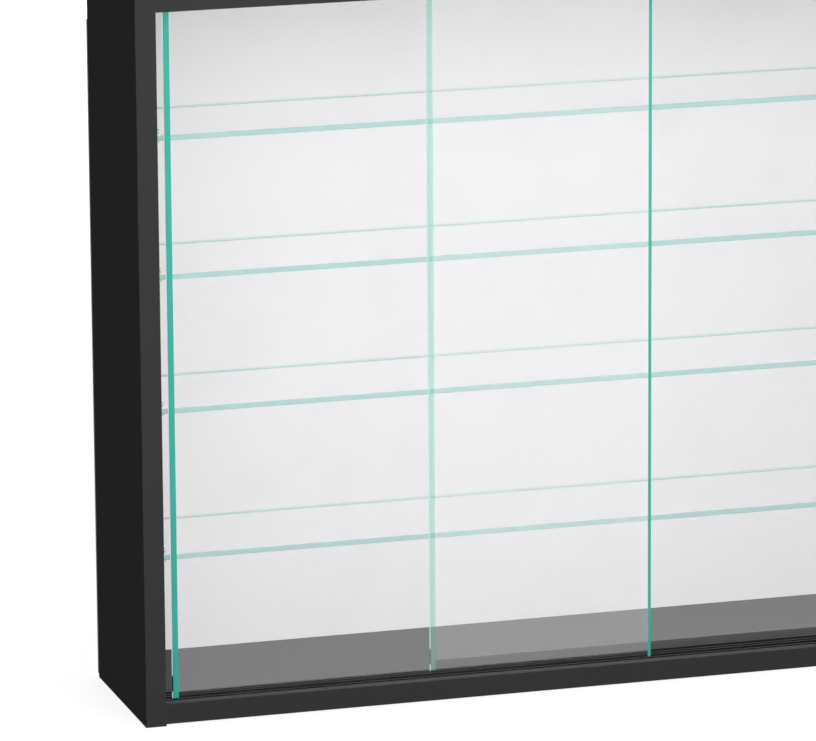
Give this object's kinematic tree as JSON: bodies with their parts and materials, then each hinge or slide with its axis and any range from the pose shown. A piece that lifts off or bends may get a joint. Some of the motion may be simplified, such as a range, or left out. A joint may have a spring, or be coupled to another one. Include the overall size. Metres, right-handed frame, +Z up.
{
  "type": "trading card display case",
  "caption": "Shallow wall-hung display case with a board carcass, glass shelves on clips and a pair of sliding glass doors in grooved tracks.",
  "frame": {"origin": "centre of the footprint, on the surface that the side panels stand on", "axes": "+X along the width, to the right of someone facing the doors; +Y from the doors to the back panel; +Z up"},
  "size_m": [0.75, 0.153, 0.57],
  "materials": {
    "black_board": "matt melamine-faced particle board",
    "black_edging": "matt ABS edging",
    "white_board": "white lacquered fibre board",
    "track_plastic": "satin extruded PVC",
    "door_glass": "polished float glass with ground upright edges",
    "shelf_glass": "polished float glass with ground edges",
    "nickelled_steel": "satin nickel plate",
    "zinc_steel": "zinc-plated steel",
    "zinc_casting": "tumbled zinc die casting",
    "cap_plastic": "moulded polyethylene",
    "beech": "fluted beech dowel"
  },
  "bodies": {
    "carcass": {"side_panel_left": "black_board", "side_panel_right": "black_board", "top_panel": "black_board", "bottom_panel": "black_board", "edge_band_left": "black_edging", "edge_band_right": "black_edging", "edge_band_top": "black_edging", "edge_band_bottom": "black_edging", "back_panel": "white_board", "back_panel_screws": "zinc_steel", "lower_track": "track_plastic", "upper_track": "track_plastic", "shelf_1": "shelf_glass", "shelf_2": "shelf_glass", "shelf_3": "shelf_glass", "shelf_4": "shelf_glass", "shelf_clips_1": "nickelled_steel", "shelf_clips_2": "nickelled_steel", "shelf_clips_3": "nickelled_steel", "shelf_clips_4": "nickelled_steel", "corner_dowels": "beech", "cam_bolts": "zinc_steel", "bottom_cams": "zinc_casting", "top_cams": "zinc_casting", "bottom_cam_caps": "cap_plastic", "top_cam_caps": "cap_plastic", "wall_hanger_left": "zinc_steel", "wall_hanger_right": "zinc_steel", "hanger_screws": "zinc_steel"},
    "front_door": {"front_door": "door_glass"},
    "rear_door": {"rear_door": "door_glass"}
  },
  "joints": [
    {"name": "front_door_slide", "type": "slide", "parent": "carcass", "child": "front_door", "axis": [1, 0, 0], "range_m": [-0.0089, 0.3221]},
    {"name": "rear_door_slide", "type": "slide", "parent": "carcass", "child": "rear_door", "axis": [1, 0, 0], "range_m": [-0.219, 0.112]}
  ]
}
